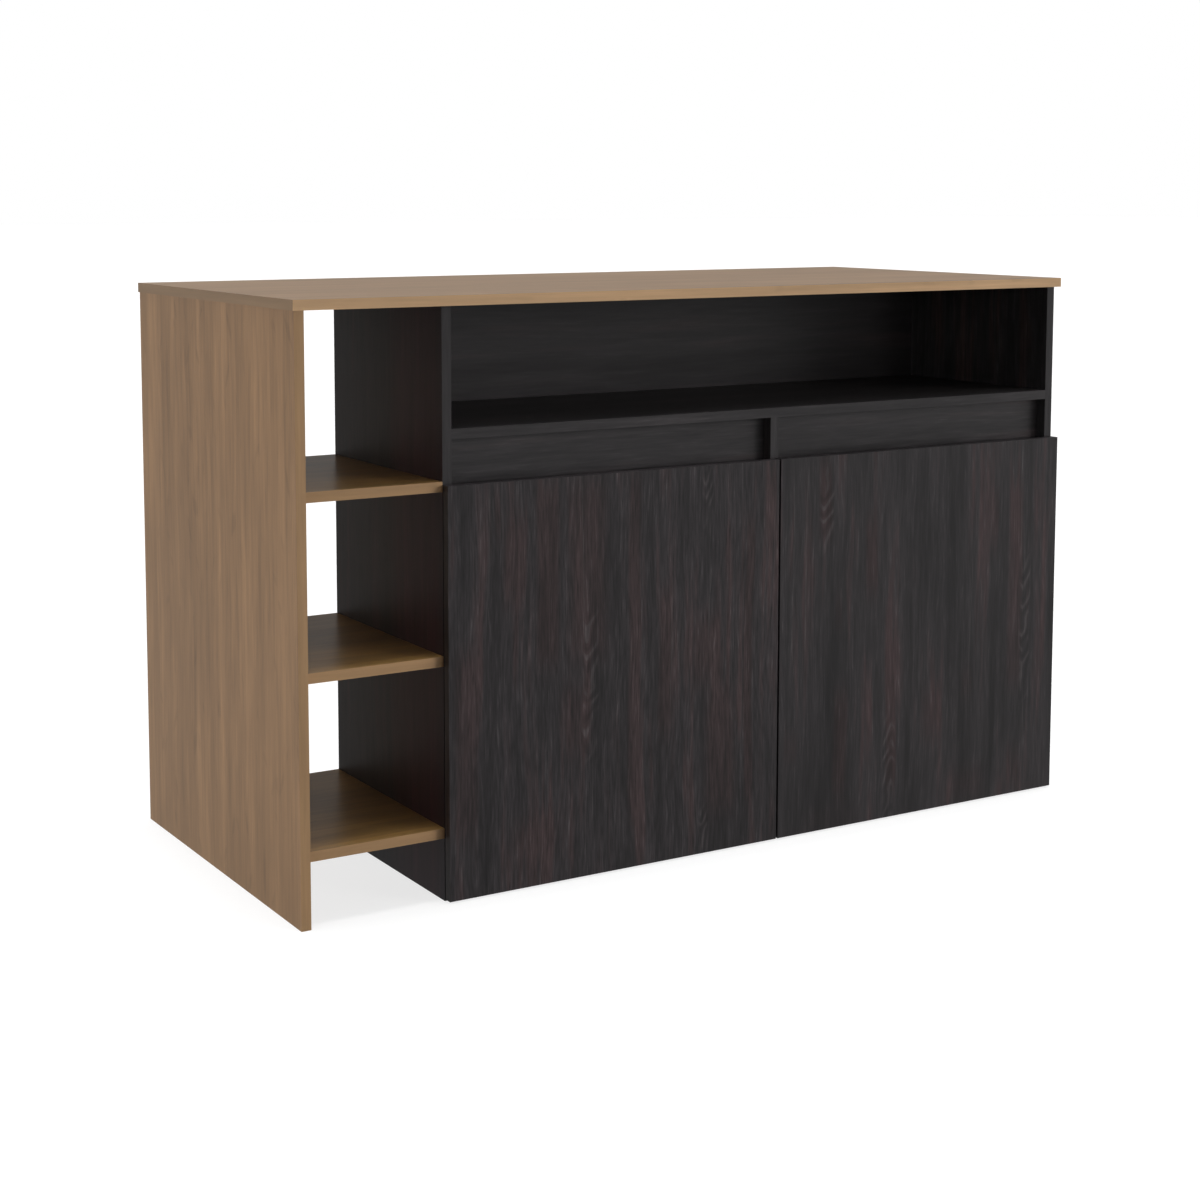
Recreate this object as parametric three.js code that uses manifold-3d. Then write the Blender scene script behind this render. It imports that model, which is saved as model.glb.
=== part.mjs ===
// Kitchen island: a two-door cabinet with an open niche, three open end shelves,
// a full-depth end panel and one worktop that overhangs the cabinet as a breakfast bar.
// Millimetres, +Z up. The long side runs along X, the doors face -Y.
// Boards are first placed from the cabinet's lower front left corner, then the
// whole group is moved so that the origin is the middle of the base.

import * as THREE from 'three';
import { mergeVertices } from 'three/addons/utils/BufferGeometryUtils.js';
import Module from 'manifold-3d';

const wasm = await Module();
wasm.setup();

// ---------------------------------------------------------------- dimensions
const T = 15;                    // board thickness, every board
const PANEL_H = 870;             // upright boards, floor to underside of the worktop
const CARCASS_L = 1175.5;        // cabinet length, outside to outside
const CARCASS_D = 367;           // cabinet depth
const BAY = 216.5;               // clear width of the open end bay
const END_FRONT = -13;           // front edge of the worktop
const END_BACK = 609;            // back edge of the worktop: the bar overhang
const TOP_OVER = 3;              // worktop past the cabinet's right side
const END_OVER = 2;              // worktop past the end panel's outer face and both its edges
const OPEN_TOPS = [618, 363.5, 109]; // top faces of the open shelves
const NICHE_TOP = 693;           // top face of the niche shelf
const RAIL_Y = 19;               // how far the finger recess is set back
const RAIL_BOTTOM = 595;
const BOTTOM_Z = 60;             // underside of the cupboard's floor
const PLINTH_Y = 20;
const DOOR_GAP = 1.5;            // door's back face to the cabinet's front edges
const DOOR_Z0 = 3;
const DOOR_Z1 = 613;
const DOOR_SPLIT = 3.5;          // gap between the doors
const DOOR_BREAK = 1;            // chamfer on the door's long back edge
const INNER_SHELF_Z = 320;       // top face of the loose shelves
const INNER_SHELF_D = 318;
const SHELF_PLAY = 1;
const HINGE_Z = [103, 513];
const CUP_R = 17.5;
const CUP_EDGE = 3;              // door edge to cup
const CUP_DEPTH = 11.2;
const CUP_WALL = 0.7;
const FIT = 0.3;                 // room round pieces that are let into a board
const PIVOT = [5.8, -10];        // hinge axis from the door's outer edge and the cabinet front
const PIN_R = 0.85;
const BORE_R = 0.95;
const DOWEL_R = 4;
const DOWEL_L = 29.4;
const SHELF_PIN_R = 2.5;
const BRACKET = 40;
const BRACKET_W = 30;
const BRACKET_T = 2;

const END_X0 = -BAY - T;
const X0 = END_X0 - END_OVER;
const X1 = CARCASS_L + TOP_OVER;
const MID = CARCASS_L / 2;
const DOOR_FRONT = -DOOR_GAP - T;
const HEIGHT = PANEL_H + T;

// ---------------------------------------------------------------- solids
function toSolid(geometry) {
  const g = geometry.clone();
  g.deleteAttribute('normal');
  g.deleteAttribute('uv');
  const m = mergeVertices(g, 1e-5);
  return new wasm.Manifold(new wasm.Mesh({
    numProp: 3,
    vertProperties: new Float32Array(m.attributes.position.array),
    triVerts: new Uint32Array(m.index.array),
  }));
}

function fromSolid(solid) {
  const mesh = solid.getMesh();
  const g = new THREE.BufferGeometry();
  const n = mesh.numProp;
  const src = mesh.vertProperties;
  const pos = new Float32Array((src.length / n) * 3);
  for (let i = 0; i < src.length / n; i++) {
    pos[3 * i] = src[n * i];
    pos[3 * i + 1] = src[n * i + 1];
    pos[3 * i + 2] = src[n * i + 2];
  }
  g.setAttribute('position', new THREE.BufferAttribute(pos, 3));
  g.setIndex(new THREE.BufferAttribute(new Uint32Array(mesh.triVerts), 1));
  g.computeVertexNormals();
  return g;
}

const join = (first, ...rest) =>
  fromSolid(rest.reduce((a, b) => a.add(toSolid(b)), toSolid(first)));
const cut = (first, ...tools) =>
  fromSolid(tools.reduce((a, b) => a.subtract(toSolid(b)), toSolid(first)));

function box(x0, x1, y0, y1, z0, z1) {
  return new THREE.BoxGeometry(x1 - x0, y1 - y0, z1 - z0)
    .translate((x0 + x1) / 2, (y0 + y1) / 2, (z0 + z1) / 2);
}

// round bar from z0 to z1 along +Z
function rod(r, z0, z1, x, y, n = 24) {
  return new THREE.CylinderGeometry(r, r, z1 - z0, n)
    .rotateX(Math.PI / 2).translate(x, y, (z0 + z1) / 2);
}

// round bar along +X, centred on y, z
function rodX(r, x0, x1, y, z, n = 24) {
  return new THREE.CylinderGeometry(r, r, x1 - x0, n)
    .rotateZ(-Math.PI / 2).translate((x0 + x1) / 2, y, z);
}

// round bar along +Y, centred on x, z
function rodY(r, y0, y1, x, z, n = 28) {
  return new THREE.CylinderGeometry(r, r, y1 - y0, n).translate(x, (y0 + y1) / 2, z);
}

// an outline in XY carried along Z
function slabZ(points, z0, z1) {
  const shape = new THREE.Shape(points.map(([x, y]) => new THREE.Vector2(x, y)));
  return new THREE.ExtrudeGeometry(shape, { depth: z1 - z0, bevelEnabled: false })
    .translate(0, 0, z0);
}

// an outline in YZ carried along X
function slabX(points, x0, x1) {
  return slabZ(points.map(([y, z]) => [y, z]), x0, x1)
    .applyMatrix4(new THREE.Matrix4().set(
      0, 0, 1, 0,
      1, 0, 0, 0,
      0, 1, 0, 0,
      0, 0, 0, 1));
}

// an outline in XZ carried along Y
function slabY(points, y0, y1) {
  return slabZ(points.map(([x, z]) => [z, x]), y0, y1)
    .applyMatrix4(new THREE.Matrix4().set(
      0, 1, 0, 0,
      0, 0, 1, 0,
      1, 0, 0, 0,
      0, 0, 0, 1));
}

// both sides of an open strip, as one closed outline
function strip(line, half) {
  const left = [];
  const right = [];
  for (let i = 0; i < line.length; i++) {
    const a = line[Math.max(i - 1, 0)];
    const b = line[i];
    const c = line[Math.min(i + 1, line.length - 1)];
    const n1 = norm(i > 0 ? a : b, i > 0 ? b : c);
    const n2 = norm(i < line.length - 1 ? b : a, i < line.length - 1 ? c : b);
    const mx = n1[0] + n2[0];
    const my = n1[1] + n2[1];
    const k = half / ((mx * n1[0] + my * n1[1]) || 1);
    left.push([b[0] + mx * k, b[1] + my * k]);
    right.push([b[0] - mx * k, b[1] - my * k]);
  }
  return left.concat(right.reverse());
}
function norm(a, b) {
  const dx = b[0] - a[0];
  const dy = b[1] - a[1];
  const l = Math.hypot(dx, dy);
  return [-dy / l, dx / l];
}

// mirror in the cabinet's middle plane, with the faces kept pointing out
function mirrorX(geometry) {
  const g = geometry.index ? geometry.toNonIndexed() : geometry.clone();
  const p = g.attributes.position;
  for (let i = 0; i < p.count; i++) p.setX(i, CARCASS_L - p.getX(i));
  for (let i = 0; i < p.count; i += 3) {
    const a = [p.getX(i + 1), p.getY(i + 1), p.getZ(i + 1)];
    p.setXYZ(i + 1, p.getX(i + 2), p.getY(i + 2), p.getZ(i + 2));
    p.setXYZ(i + 2, ...a);
  }
  g.deleteAttribute('normal');
  if (g.attributes.uv) g.deleteAttribute('uv');
  const m = mergeVertices(g, 1e-5);
  m.computeVertexNormals();
  return m;
}

// ---------------------------------------------------------------- scene graph
const unit = new THREE.Group();
unit.position.set(-(X0 + X1) / 2, -(DOOR_FRONT + END_BACK) / 2, 0);

const finish = {
  light: { color: 0x8a7159, roughness: 0.55, metalness: 0 },
  top: { color: 0x9a8a76, roughness: 0.5, metalness: 0 },
  dark: { color: 0x323031, roughness: 0.5, metalness: 0 },
  steel: { color: 0xb5b7ba, roughness: 0.35, metalness: 0.9 },
  plug: { color: 0xc9a877, roughness: 0.8, metalness: 0 },
  clear: { color: 0xd8dadb, roughness: 0.3, metalness: 0 },
};
function add(name, geometry, look) {
  const mesh = new THREE.Mesh(geometry, new THREE.MeshStandardMaterial(finish[look]));
  mesh.name = name;
  unit.add(mesh);
  return mesh;
}

// ---------------------------------------------------------------- dowels
// two in the top edge of each upright board, half in the board and half in the worktop
const dowelSpots = [
  ['dowel_end_front', END_X0 + T / 2, 100],
  ['dowel_end_back', END_X0 + T / 2, 500],
  ['dowel_left_front', T / 2, 60],
  ['dowel_left_back', T / 2, 300],
  ['dowel_right_front', CARCASS_L - T / 2, 60],
  ['dowel_right_back', CARCASS_L - T / 2, 300],
];
const DOWEL_Z0 = PANEL_H - 19.7;
const dowelHole = (x, y) => rod(DOWEL_R + FIT, PANEL_H - 20, PANEL_H + 10, x, y, 16);
function dowel(x, y) {
  const z0 = DOWEL_Z0;
  const z1 = DOWEL_Z0 + DOWEL_L;
  const p = [[0, z0], [DOWEL_R - 0.8, z0], [DOWEL_R, z0 + 1.2], [DOWEL_R, z1 - 1.2],
    [DOWEL_R - 0.8, z1], [0, z1]].map(([r, z]) => new THREE.Vector2(r, z));
  return new THREE.LatheGeometry(p, 12).rotateX(Math.PI / 2).translate(x, y, 0);
}
for (const [name, x, y] of dowelSpots) add(name, dowel(x, y), 'plug');
const holesAt = (x) => dowelSpots.filter((d) => Math.abs(d[1] - x) < 1)
  .map((d) => dowelHole(d[1], d[2]));

// ---------------------------------------------------------------- worktop and end panel
add('worktop', cut(box(X0, X1, END_FRONT, END_BACK, PANEL_H, HEIGHT),
  ...dowelSpots.map((d) => dowelHole(d[1], d[2]))), 'top');
add('left_end_panel', cut(box(END_X0, END_X0 + T, END_FRONT + END_OVER, END_BACK - END_OVER, 0, PANEL_H),
  ...holesAt(END_X0 + T / 2)), 'light');

// ---------------------------------------------------------------- open end shelves
['open_shelf_top', 'open_shelf_middle', 'open_shelf_bottom'].forEach((name, i) => {
  add(name, box(-BAY, 0, 0, CARCASS_D, OPEN_TOPS[i] - T, OPEN_TOPS[i]), 'light');
});

// ---------------------------------------------------------------- shelf pins
// a peg with a collar: the thin end is in the board, the thick end is under the shelf
const PIN_IN = 6.2;
const PIN_OUT = 9;
const PIN_Z = INNER_SHELF_Z - T - SHELF_PIN_R - 0.1;
const pinYs = [50, 290];
function shelfPin(x, y, dir) {
  const p = [[0, -PIN_IN], [SHELF_PIN_R, -PIN_IN], [SHELF_PIN_R, 0], [4, 0], [4, 1.4],
    [SHELF_PIN_R, 1.4], [SHELF_PIN_R, PIN_OUT - 0.6], [SHELF_PIN_R - 0.6, PIN_OUT], [0, PIN_OUT]]
    .map(([r, h]) => new THREE.Vector2(r, h));
  const g = new THREE.LatheGeometry(p, 12);
  g.rotateZ(dir > 0 ? -Math.PI / 2 : Math.PI / 2);
  return g.translate(x, y, PIN_Z);
}
const pinHole = (x, y, dir) => dir > 0
  ? rodX(SHELF_PIN_R + FIT, x - PIN_IN - 0.3, x + 2, y, PIN_Z, 12)
  : rodX(SHELF_PIN_R + FIT, x - 2, x + PIN_IN + 0.3, y, PIN_Z, 12);
const DIV0 = MID - T / 2;
const DIV1 = MID + T / 2;
const inner = [
  ['left', T, DIV0],
  ['right', DIV1, CARCASS_L - T],
];
for (const [side, xa, xb] of inner) {
  pinYs.forEach((y, i) => {
    const where = i === 0 ? 'front' : 'back';
    add(`shelf_pin_${side}_outer_${where}`,
      side === 'left' ? shelfPin(xa, y, 1) : shelfPin(xb, y, -1), 'steel');
    add(`shelf_pin_${side}_inner_${where}`,
      side === 'left' ? shelfPin(xb, y, -1) : shelfPin(xa, y, 1), 'steel');
  });
  // the loose shelf lies on the pins and is relieved over each collar
  add(`inner_shelf_${side}`, cut(box(xa + SHELF_PLAY, xb - SHELF_PLAY, 30, 30 + INNER_SHELF_D,
    INNER_SHELF_Z - T, INNER_SHELF_Z),
  ...pinYs.flatMap((y) => [
    rodX(4 + FIT, xa - 1, xa + 1.8, y, PIN_Z, 16),
    rodX(4 + FIT, xb - 1.8, xb + 1, y, PIN_Z, 16)])), 'dark');
}

// ---------------------------------------------------------------- cabinet boards
const leftPins = pinYs.map((y) => pinHole(T, y, 1));
const rightPins = pinYs.map((y) => pinHole(CARCASS_L - T, y, -1));
add('carcass_left_side', cut(box(0, T, 0, CARCASS_D, 0, PANEL_H),
  ...holesAt(T / 2), ...leftPins), 'dark');
add('carcass_right_side', cut(box(CARCASS_L - T, CARCASS_L, 0, CARCASS_D, 0, PANEL_H),
  ...holesAt(CARCASS_L - T / 2), ...rightPins), 'dark');
add('niche_shelf', box(T, CARCASS_L - T, 0, CARCASS_D - T, NICHE_TOP - T, NICHE_TOP), 'dark');
add('niche_back_panel', box(T, CARCASS_L - T, CARCASS_D - T, CARCASS_D, NICHE_TOP - T, PANEL_H), 'dark');
add('lower_back_panel', box(T, CARCASS_L - T, CARCASS_D - T, CARCASS_D, 0, NICHE_TOP - T), 'dark');
add('bottom_panel', box(T, CARCASS_L - T, 0, CARCASS_D - T, BOTTOM_Z, BOTTOM_Z + T), 'dark');
add('plinth_front', box(T, CARCASS_L - T, PLINTH_Y, PLINTH_Y + T, 0, BOTTOM_Z), 'dark');
add('centre_divider', cut(box(DIV0, DIV1, 0, CARCASS_D - T, BOTTOM_Z + T, NICHE_TOP - T),
  ...pinYs.flatMap((y) => [pinHole(DIV0, y, -1), pinHole(DIV1, y, 1)])), 'dark');
add('recess_rail_left', box(T, DIV0, RAIL_Y, RAIL_Y + T, RAIL_BOTTOM, NICHE_TOP - T), 'dark');
add('recess_rail_right', box(DIV1, CARCASS_L - T, RAIL_Y, RAIL_Y + T, RAIL_BOTTOM, NICHE_TOP - T), 'dark');

// ---------------------------------------------------------------- doors
const CUP_X = CUP_EDGE + CUP_R;
function doorPanel() {
  const w = MID - DOOR_SPLIT / 2;
  // the long edge beside the hinge is broken on its back corner, so it passes the cabinet
  const outline = [[0, DOOR_FRONT], [w, DOOR_FRONT], [w, -DOOR_GAP],
    [DOOR_BREAK, -DOOR_GAP], [0, -DOOR_GAP - DOOR_BREAK]];
  const pockets = HINGE_Z.map((z) =>
    rodY(CUP_R + FIT, -DOOR_GAP - CUP_DEPTH - FIT, 2, CUP_X, z));
  return cut(slabZ(outline, DOOR_Z0, DOOR_Z1), ...pockets);
}
const panel = doorPanel();
add('door_left_panel', panel, 'dark');
add('door_right_panel', mirrorX(panel), 'dark');

// ---------------------------------------------------------------- concealed hinges
// One pin stands for the linkage inside the real cup. The arm reaches from the
// plate on the side board into the cup and carries the pin's knuckle.
function hingeCup(z) {
  const bottom = -DOOR_GAP - CUP_DEPTH;
  const r = CUP_R;
  const profile = [[0, bottom], [r - 1, bottom], [r, bottom + 1], [r, -DOOR_GAP],
    [r - CUP_WALL, -DOOR_GAP], [r - CUP_WALL, bottom + CUP_WALL + 1],
    [r - CUP_WALL - 1, bottom + CUP_WALL], [0, bottom + CUP_WALL]]
    .map(([a, b]) => new THREE.Vector2(a, b));
  const bowl = new THREE.LatheGeometry(profile, 28).translate(CUP_X, 0, z);
  // flange with two ears, each with a screw hole
  const xa = 4.3;
  const outline = [];
  const arc = (cx, cz, rad, a0, a1, n) => {
    for (let i = 0; i <= n; i++) {
      const a = a0 + (a1 - a0) * i / n;
      outline.push([cx + rad * Math.cos(a), cz + rad * Math.sin(a)]);
    }
  };
  outline.push([xa, z - 12]);
  outline.push([14, z - 18.6]);
  arc(30, z - 22.5, 5, -Math.PI * 0.9, -Math.PI * 0.05, 8);
  outline.push([39.2, z - 12]);
  outline.push([39.2, z + 12]);
  arc(30, z + 22.5, 5, Math.PI * 0.05, Math.PI * 0.9, 8);
  outline.push([14, z + 18.6]);
  outline.push([xa, z + 12]);
  const plate = cut(slabY(outline, -DOOR_GAP, -DOOR_GAP + 1),
    rodY(r - CUP_WALL, -DOOR_GAP - 1, 2, CUP_X, z),
    rodY(2, -DOOR_GAP - 1, 2, 30, z - 22.5, 12),
    rodY(2, -DOOR_GAP - 1, 2, 30, z + 22.5, 12));
  // the bowl's rim reaches a hair into the flange so that the two are one piece
  const rim = cut(rodY(r, -DOOR_GAP - 0.6, -DOOR_GAP + 0.5, CUP_X, z),
    rodY(r - CUP_WALL, -DOOR_GAP - 2, 2, CUP_X, z),
    box(0, xa, -5, 5, z - 20, z + 20));
  // two lugs hold the pin
  const lug = (s) => box(4.35, 7.6, bottom + 0.3, PIVOT[1] + 1.6,
    s > 0 ? z + 3.3 : z - 5.9, s > 0 ? z + 5.9 : z - 3.3);
  return cut(join(bowl, plate, rim, lug(1), lug(-1)),
    rod(BORE_R, z - 6.2, z + 6.2, PIVOT[0], PIVOT[1], 16));
}
function hingePin(z) {
  return rod(PIN_R, z - 5.8, z + 5.8, PIVOT[0], PIVOT[1], 16);
}
const ARM_X = T + 7.6;           // middle of the arm's plate over the mounting plate
function hingeArm(z) {
  const neck = slabZ(strip([[PIVOT[0], PIVOT[1]], [T + 2, PIVOT[1]], [T + 2, 1.5],
    [ARM_X, 12], [ARM_X, 30]], 1), z - 3, z + 3);
  const knuckle = rod(1.7, z - 3, z + 3, PIVOT[0], PIVOT[1], 16);
  const body = slabX([[10.5, z - 3.4], [17, z - 7], [64, z - 7], [67, z - 4], [67, z + 4],
    [64, z + 7], [17, z + 7], [10.5, z + 3.4]], ARM_X - 1, ARM_X + 1);
  const cheekA = box(ARM_X - 4, ARM_X + 1, 26, 62, z - 7, z - 5.8);
  const cheekB = box(ARM_X - 4, ARM_X + 1, 26, 62, z + 5.8, z + 7);
  return cut(join(neck, knuckle, body, cheekA, cheekB),
    rod(BORE_R, z - 5, z + 5, PIVOT[0], PIVOT[1], 16),
    rodX(2.2, ARM_X - 3, ARM_X + 3, 37, z, 12),
    rodX(2.2, ARM_X - 3, ARM_X + 3, 56, z, 12));
}
function hingePlate(z) {
  // a flat cross on the side board with a raised rail that the arm sits on
  const base = slabX([[22, z - 8], [31, z - 8], [31, z - 21], [33, z - 23], [41, z - 23],
    [43, z - 21], [43, z - 8], [60, z - 8], [62, z - 6], [62, z + 6], [60, z + 8], [43, z + 8],
    [43, z + 21], [41, z + 23], [33, z + 23], [31, z + 21], [31, z + 8], [22, z + 8]], T, T + 1.8);
  const rail = slabX([[23, z - 5.4], [60.5, z - 5.4], [60.5, z + 5.4], [23, z + 5.4]],
    T + 1.2, T + 6.3);
  return cut(join(base, rail),
    rodX(2.1, T - 1, T + 4, 37, z - 17, 12),
    rodX(2.1, T - 1, T + 4, 37, z + 17, 12));
}
const hingeNames = ['lower', 'upper'];
HINGE_Z.forEach((z, i) => {
  const where = hingeNames[i];
  const cup = hingeCup(z);
  const pin = hingePin(z);
  const arm = hingeArm(z);
  const plate = hingePlate(z);
  add(`hinge_cup_left_${where}`, cup, 'steel');
  add(`hinge_cup_right_${where}`, mirrorX(cup), 'steel');
  add(`hinge_pin_left_${where}`, pin, 'steel');
  add(`hinge_pin_right_${where}`, mirrorX(pin), 'steel');
  add(`hinge_arm_left_${where}`, arm, 'steel');
  add(`hinge_arm_right_${where}`, mirrorX(arm), 'steel');
  add(`hinge_plate_left_${where}`, plate, 'steel');
  add(`hinge_plate_right_${where}`, mirrorX(plate), 'steel');
});

// ---------------------------------------------------------------- door bumpers
// low domes on the doors' backs: the upper one meets the divider, the lower one the floor board
function bumper(x, z, r) {
  const p = [[0, 0], [r, 0], [r, 0.6], [r * 0.75, 1.2], [0, 1.2]]
    .map(([a, b]) => new THREE.Vector2(a, b));
  return new THREE.LatheGeometry(p, 16).translate(x, -DOOR_GAP, z);
}
const upperBumper = bumper(MID - DOOR_SPLIT / 2 - 4, 560, 3.5);
const lowerBumper = bumper(MID - 40, BOTTOM_Z + T / 2, 4);
add('bumper_left_upper', upperBumper, 'clear');
add('bumper_right_upper', mirrorX(upperBumper), 'clear');
add('bumper_left_lower', lowerBumper, 'clear');
add('bumper_right_lower', mirrorX(lowerBumper), 'clear');

// ---------------------------------------------------------------- overhang brackets
// bent steel angles between the cabinet's back and the underside of the bar overhang
function bracket(x) {
  const y = CARCASS_D;
  const z = PANEL_H;
  const legA = slabZ([[x - BRACKET_W / 2, y], [x + BRACKET_W / 2, y],
    [x + BRACKET_W / 2, y + BRACKET - 4], [x + BRACKET_W / 2 - 4, y + BRACKET],
    [x - BRACKET_W / 2 + 4, y + BRACKET], [x - BRACKET_W / 2, y + BRACKET - 4]],
  z - BRACKET_T, z);
  const legB = slabY([[x - BRACKET_W / 2, z], [x - BRACKET_W / 2, z - BRACKET + 4],
    [x - BRACKET_W / 2 + 4, z - BRACKET], [x + BRACKET_W / 2 - 4, z - BRACKET],
    [x + BRACKET_W / 2, z - BRACKET + 4], [x + BRACKET_W / 2, z]], y, y + BRACKET_T);
  return cut(join(legA, legB),
    rod(2.4, z - 6, z + 3, x - 7, y + 26, 12),
    rod(2.4, z - 6, z + 3, x + 7, y + 26, 12),
    rodY(2.4, y - 3, y + 6, x - 7, z - 26, 12),
    rodY(2.4, y - 3, y + 6, x + 7, z - 26, 12));
}
[['overhang_bracket_left', 110], ['overhang_bracket_middle', MID],
  ['overhang_bracket_right', CARCASS_L - 110]].forEach(([name, x]) => {
  add(name, bracket(x), 'steel');
});

export default unit;
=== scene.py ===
import math

import bmesh
import bpy
from mathutils import Matrix, Vector


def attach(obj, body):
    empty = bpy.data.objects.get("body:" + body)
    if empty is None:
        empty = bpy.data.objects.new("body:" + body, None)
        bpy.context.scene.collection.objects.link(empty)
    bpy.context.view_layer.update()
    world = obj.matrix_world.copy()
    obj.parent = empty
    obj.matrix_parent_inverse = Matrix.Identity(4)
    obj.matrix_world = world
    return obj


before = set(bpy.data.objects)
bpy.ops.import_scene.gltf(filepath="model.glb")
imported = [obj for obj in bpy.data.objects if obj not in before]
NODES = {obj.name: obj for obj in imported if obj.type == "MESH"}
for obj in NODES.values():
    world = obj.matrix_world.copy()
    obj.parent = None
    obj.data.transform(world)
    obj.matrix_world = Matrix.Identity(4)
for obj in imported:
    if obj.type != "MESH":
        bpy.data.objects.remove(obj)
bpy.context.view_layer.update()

scene = bpy.context.scene

# The cabinet's own measures are in millimetres from its lower front left corner.
OX, OY = -472.5, -296.25
CARCASS_L = 1175.5


def at(x, y, z, side="left"):
    """A point given in cabinet millimetres, in metres in the shared frame."""
    if side == "right":
        x = CARCASS_L - x
    return Vector(((x + OX) / 1000, (y + OY) / 1000, z / 1000))


# ---------------------------------------------------------------- camera
LENS, SHIFT_X, SHIFT_Y = 62.55, 0.0286, -0.165
YAW, PITCH = 30.8116, 5.7607
cam_data = bpy.data.cameras.new("camera")
cam_data.sensor_width = 36.0
cam_data.lens = LENS
cam_data.shift_x, cam_data.shift_y = SHIFT_X, SHIFT_Y
cam_data.clip_start, cam_data.clip_end = 0.05, 200.0
cam_data.dof.use_dof = False
camera = bpy.data.objects.new("camera", cam_data)
camera.location = (-1.83538, -2.92567, 1.03091)
camera.rotation_euler = (math.radians(90 - PITCH), 0, math.radians(-YAW))
scene.collection.objects.link(camera)
scene.camera = camera

# ---------------------------------------------------------------- colour
scene.view_settings.view_transform = "Standard"
scene.view_settings.look = "None"
scene.view_settings.exposure = 0.0
scene.view_settings.gamma = 1.0


def lin(r, g, b, gain=1.0):
    """An sRGB colour of 0 to 255 as linear light."""
    out = []
    for v in (r, g, b):
        v /= 255
        v = v / 12.92 if v <= 0.04045 else ((v + 0.055) / 1.055) ** 2.4
        out.append(v * gain)
    return (*out, 1.0)


# ---------------------------------------------------------------- node trees
class Tree:
    """Builds a material's nodes from short calls. Any value may be a number or a socket."""

    def __init__(self, name):
        self.mat = bpy.data.materials.new(name)
        self.mat.use_nodes = True
        self.nt = self.mat.node_tree
        self.nt.nodes.clear()

    def put(self, sock, v):
        if isinstance(v, bpy.types.NodeSocket):
            self.nt.links.new(v, sock)
        elif v is not None:
            sock.default_value = v

    def new(self, kind, **props):
        n = self.nt.nodes.new(kind)
        for k, v in props.items():
            setattr(n, k, v)
        return n

    def m(self, op, a, b=None, c=None, clamp=False):
        n = self.new("ShaderNodeMath", operation=op, use_clamp=clamp)
        self.put(n.inputs[0], a)
        self.put(n.inputs[1], b)
        self.put(n.inputs[2], c)
        return n.outputs[0]

    def add(self, a, b):
        return self.m("ADD", a, b)

    def sub(self, a, b):
        return self.m("SUBTRACT", a, b)

    def mul(self, a, b):
        return self.m("MULTIPLY", a, b)

    def step(self, v, a, b):
        """0 below a, 1 above b, smooth between. With a above b it falls instead."""
        n = self.new("ShaderNodeMapRange", interpolation_type="SMOOTHSTEP", clamp=True)
        self.put(n.inputs["Value"], v)
        lo, hi, f, t = (a, b, 0.0, 1.0) if a < b else (b, a, 1.0, 0.0)
        n.inputs["From Min"].default_value = lo
        n.inputs["From Max"].default_value = hi
        n.inputs["To Min"].default_value = f
        n.inputs["To Max"].default_value = t
        return n.outputs["Result"]

    def sep(self, v):
        n = self.new("ShaderNodeSeparateXYZ")
        self.put(n.inputs[0], v)
        return n.outputs[0], n.outputs[1], n.outputs[2]

    def vec(self, x, y, z):
        n = self.new("ShaderNodeCombineXYZ")
        self.put(n.inputs[0], x)
        self.put(n.inputs[1], y)
        self.put(n.inputs[2], z)
        return n.outputs[0]

    def vmul(self, v, k):
        n = self.new("ShaderNodeVectorMath", operation="MULTIPLY")
        self.put(n.inputs[0], v)
        self.put(n.inputs[1], k)
        return n.outputs[0]

    def vadd(self, v, k):
        n = self.new("ShaderNodeVectorMath", operation="ADD")
        self.put(n.inputs[0], v)
        self.put(n.inputs[1], k)
        return n.outputs[0]

    def vscale(self, v, k):
        n = self.new("ShaderNodeVectorMath", operation="SCALE")
        self.put(n.inputs[0], v)
        self.put(n.inputs["Scale"], k)
        return n.outputs[0]

    def mixf(self, f, a, b):
        n = self.new("ShaderNodeMix", data_type="FLOAT", clamp_factor=True)
        self.put(n.inputs[0], f)
        self.put(n.inputs[2], a)
        self.put(n.inputs[3], b)
        return n.outputs[0]

    def mix(self, f, a, b):
        n = self.new("ShaderNodeMix", data_type="RGBA", clamp_factor=True)
        self.put(n.inputs[0], f)
        self.put(n.inputs[6], a)
        self.put(n.inputs[7], b)
        return n.outputs[2]

    def noise(self, v, detail=2.0, rough=0.5, distortion=0.0, scale=1.0):
        n = self.new("ShaderNodeTexNoise", noise_dimensions="3D")
        self.put(n.inputs["Vector"], v)
        n.inputs["Scale"].default_value = scale
        n.inputs["Detail"].default_value = detail
        n.inputs["Roughness"].default_value = rough
        n.inputs["Distortion"].default_value = distortion
        return n.outputs["Fac"]

    def bump(self, height, strength, distance, normal=None):
        n = self.new("ShaderNodeBump")
        n.inputs["Strength"].default_value = strength
        n.inputs["Distance"].default_value = distance
        self.put(n.inputs["Height"], height)
        if normal is not None:
            self.put(n.inputs["Normal"], normal)
        return n.outputs["Normal"]

    def shader(self, color, rough, normal=None, **sockets):
        b = self.new("ShaderNodeBsdfPrincipled")
        self.put(b.inputs["Base Color"], color)
        self.put(b.inputs["Roughness"], rough)
        if normal is not None:
            self.put(b.inputs["Normal"], normal)
        for k, v in sockets.items():
            self.put(b.inputs[k.replace("_", " ")], v)
        out = self.new("ShaderNodeOutputMaterial")
        self.nt.links.new(b.outputs[0], out.inputs["Surface"])
        return self.mat


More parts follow.
